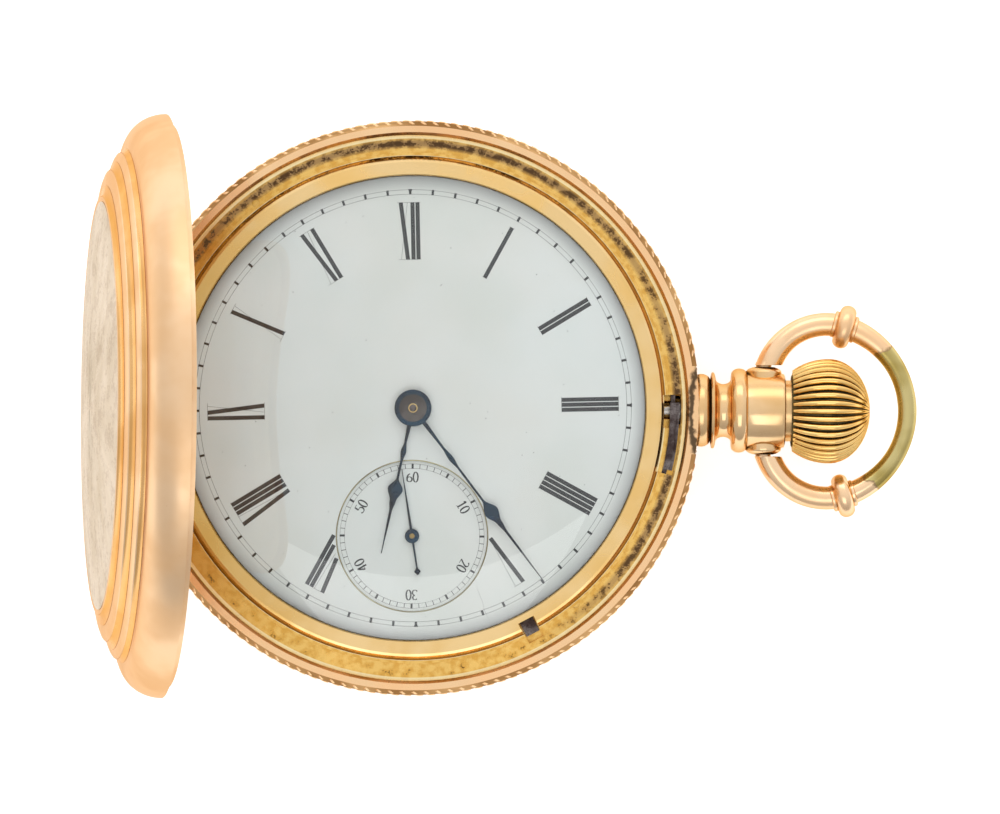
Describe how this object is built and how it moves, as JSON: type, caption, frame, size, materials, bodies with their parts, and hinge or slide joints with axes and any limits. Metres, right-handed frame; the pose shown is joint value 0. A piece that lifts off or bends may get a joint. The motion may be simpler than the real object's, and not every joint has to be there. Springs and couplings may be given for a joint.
{
  "type": "pocket watch",
  "caption": "Full hunter pocket watch with sprung front cover, hinged back, ribbed crown and bow, enamel dial, blued spade hands and a jewelled lever movement.",
  "frame": {"origin": "centre of the flat on the outside of the back cover, on which the watch rests", "axes": "+X to the crown at 3 o'clock, +Y to 12 o'clock, +Z out of the dial"},
  "size_m": [0.0813, 0.0558, 0.0663],
  "materials": {
    "gold": "polished rose gold plate, worn",
    "pale_gold": "polished pale gold plate",
    "bow_gold": "rubbed gold plate over white metal",
    "steel": "satin steel",
    "blued_steel": "heat-blued and polished",
    "gilt": "gilt, frosted",
    "enamel": "glossy white enamel, faintly aged",
    "glass": "clear crystal",
    "ruby": "polished synthetic ruby"
  },
  "bodies": {
    "case": {"case_centre": "gold", "pendant": "gold", "bezel": "pale_gold", "crystal": "glass", "front_hinge_pin": "steel", "back_hinge_pin": "steel", "cuvette_hinge_pin": "steel", "lift_spring": "steel", "spring_screws": "steel", "dial": "enamel", "seconds_dial": "enamel", "dial_pins": "gilt", "pillar_plate": "gilt", "top_plate": "gilt", "barrel_bridge": "gilt", "pillars": "gilt", "plate_screws": "blued_steel", "balance_cock": "gilt", "cock_screws": "blued_steel", "cap_jewel": "ruby", "potence": "gilt", "plate_jewels": "ruby", "winding_yoke": "steel", "click_spring": "steel", "case_screws": "steel"},
    "front_cover": {"front_cover": "gold"},
    "back_cover": {"back_cover": "gold"},
    "cuvette": {"cuvette": "pale_gold"},
    "push": {"push_sleeve": "steel"},
    "crown": {"crown": "gold", "winding_stem": "steel"},
    "winding_pinion": {"winding_pinion": "steel"},
    "crown_wheel": {"crown_wheel": "steel"},
    "ratchet": {"ratchet_wheel": "steel", "barrel_arbor": "steel"},
    "setting_wheel": {"setting_wheel": "steel"},
    "catch": {"lock_spring": "steel"},
    "setting_lever": {"setting_lever": "steel"},
    "click": {"click": "steel"},
    "bow": {"bow": "bow_gold"},
    "regulator": {"regulator": "steel"},
    "minutes": {"centre_wheel": "gilt", "cannon_pinion": "steel", "minute_hand": "blued_steel"},
    "third_wheel": {"third_wheel": "gilt"},
    "seconds": {"fourth_wheel": "gilt", "second_hand": "blued_steel"},
    "escape_wheel": {"escape_wheel": "steel"},
    "barrel": {"barrel": "gilt", "mainspring": "steel"},
    "minute_wheel": {"minute_wheel": "gilt"},
    "hours": {"hour_wheel": "gilt", "hour_hand": "blued_steel"},
    "fork": {"pallet_fork": "steel", "pallet_stones": "ruby"},
    "balance": {"balance_wheel": "pale_gold", "balance_staff": "steel", "roller": "steel", "impulse_jewel": "ruby", "hairspring": "blued_steel"}
  },
  "joints": [
    {"name": "front_cover_hinge", "type": "hinge", "parent": "case", "child": "front_cover", "pos_m": [-0.027, 0, 0.0123], "axis": [0, -1, 0], "range_deg": [-82, 0], "stiffness_Nm_per_rad": 0.002, "springref_deg": 28.65},
    {"name": "back_cover_hinge", "type": "hinge", "parent": "case", "child": "back_cover", "pos_m": [-0.027, 0, 0.0053], "axis": [0, 1, 0], "range_deg": [0, 95]},
    {"name": "cuvette_hinge", "type": "hinge", "parent": "case", "child": "cuvette", "pos_m": [-0.02475, 0, 0.00555], "axis": [0, 1, 0], "range_deg": [0, 75]},
    {"name": "crown_push", "type": "slide", "parent": "case", "child": "push", "axis": [-1, 0, 0], "range_m": [0, 0.00045], "stiffness_N_per_m": 8000, "springref_m": -0.0001},
    {"name": "crown_spin", "type": "hinge", "parent": "push", "child": "crown", "pos_m": [0.037, 0, 0.0088], "axis": [1, 0, 0], "continuous": true},
    {"name": "winding_pinion_spin", "type": "hinge", "parent": "case", "child": "winding_pinion", "pos_m": [0.02, 0, 0.0088], "axis": [1, 0, 0], "continuous": true},
    {"name": "crown_wheel_spin", "type": "hinge", "parent": "case", "child": "crown_wheel", "pos_m": [0.0145, 0, 0.01035], "axis": [0, 0, 1], "continuous": true},
    {"name": "ratchet_spin", "type": "hinge", "parent": "case", "child": "ratchet", "pos_m": [0.00732, 0.00732, 0.01035], "axis": [0, 0, 1], "continuous": true},
    {"name": "setting_wheel_spin", "type": "hinge", "parent": "case", "child": "setting_wheel", "pos_m": [0.00914, -0.0045, 0.01], "axis": [0, 0, 1], "continuous": true},
    {"name": "catch_swing", "type": "hinge", "parent": "case", "child": "catch", "pos_m": [0.01601, -0.01907, 0.0104], "axis": [0, 0, 1], "range_deg": [0, 1.36]},
    {"name": "setting_lever_slide", "type": "slide", "parent": "case", "child": "setting_lever", "axis": [0.4772, -0.8788, 0], "range_m": [0, 0.0015]},
    {"name": "click_swing", "type": "hinge", "parent": "case", "child": "click", "pos_m": [0.00591, 0.0153, 0.01035], "axis": [0, 0, 1], "range_deg": [-6, 6]},
    {"name": "bow_swing", "type": "hinge", "parent": "case", "child": "bow", "pos_m": [0.0343, 0, 0.0088], "axis": [0, 1, 0], "range_deg": [-90, 90]},
    {"name": "regulator_swing", "type": "hinge", "parent": "case", "child": "regulator", "pos_m": [0.00986, -0.00752, 0.002], "axis": [0, 0, 1], "range_deg": [-20, 20]},
    {"name": "minute_hand_spin", "type": "hinge", "parent": "case", "child": "minutes", "pos_m": [0, 0, 0.008], "axis": [0, 0, 1], "continuous": true},
    {"name": "third_wheel_spin", "type": "hinge", "parent": "case", "child": "third_wheel", "pos_m": [-0.00612, -0.0066, 0.007], "axis": [0, 0, 1], "continuous": true},
    {"name": "second_hand_spin", "type": "hinge", "parent": "case", "child": "seconds", "pos_m": [0, -0.0125, 0.007], "axis": [0, 0, 1], "continuous": true},
    {"name": "escape_wheel_spin", "type": "hinge", "parent": "case", "child": "escape_wheel", "pos_m": [0.00758, -0.01603, 0.006], "axis": [0, 0, 1], "continuous": true},
    {"name": "barrel_spin", "type": "hinge", "parent": "case", "child": "barrel", "pos_m": [0.00732, 0.00732, 0.0075], "axis": [0, 0, 1], "continuous": true},
    {"name": "minute_wheel_spin", "type": "hinge", "parent": "case", "child": "minute_wheel", "pos_m": [0.0024, -0.00416, 0.0096], "axis": [0, 0, 1], "continuous": true},
    {"name": "hour_hand_spin", "type": "hinge", "parent": "case", "child": "hours", "pos_m": [0, 0, 0.0105], "axis": [0, 0, 1], "continuous": true},
    {"name": "pallet_fork_swing", "type": "hinge", "parent": "case", "child": "fork", "pos_m": [0.00856, -0.01235, 0.0062], "axis": [0, 0, 1], "range_deg": [-5, 5]},
    {"name": "balance_swing", "type": "hinge", "parent": "case", "child": "balance", "pos_m": [0.00986, -0.00752, 0.0035], "axis": [0, 0, 1], "range_deg": [-270, 270], "stiffness_Nm_per_rad": 0.0000023, "deforming": ["hairspring"]}
  ],
  "couplings": [
    {"joint": "cuvette_hinge", "follows": "back_cover_hinge", "ratio": 0.78},
    {"joint": "catch_swing", "follows": "crown_push", "rad_per_m": 52.36},
    {"joint": "winding_pinion_spin", "follows": "crown_spin", "ratio": 1},
    {"joint": "crown_wheel_spin", "follows": "crown_spin", "ratio": -0.27273},
    {"joint": "ratchet_spin", "follows": "crown_spin", "ratio": 0.23554},
    {"joint": "setting_wheel_spin", "follows": "crown_spin", "ratio": 0.57576},
    {"joint": "third_wheel_spin", "follows": "minute_hand_spin", "ratio": -8},
    {"joint": "second_hand_spin", "follows": "minute_hand_spin", "ratio": 60},
    {"joint": "escape_wheel_spin", "follows": "minute_hand_spin", "ratio": -600},
    {"joint": "barrel_spin", "follows": "minute_hand_spin", "ratio": -0.15385},
    {"joint": "minute_wheel_spin", "follows": "minute_hand_spin", "ratio": -0.33333},
    {"joint": "hour_hand_spin", "follows": "minute_hand_spin", "ratio": 0.083333}
  ]
}
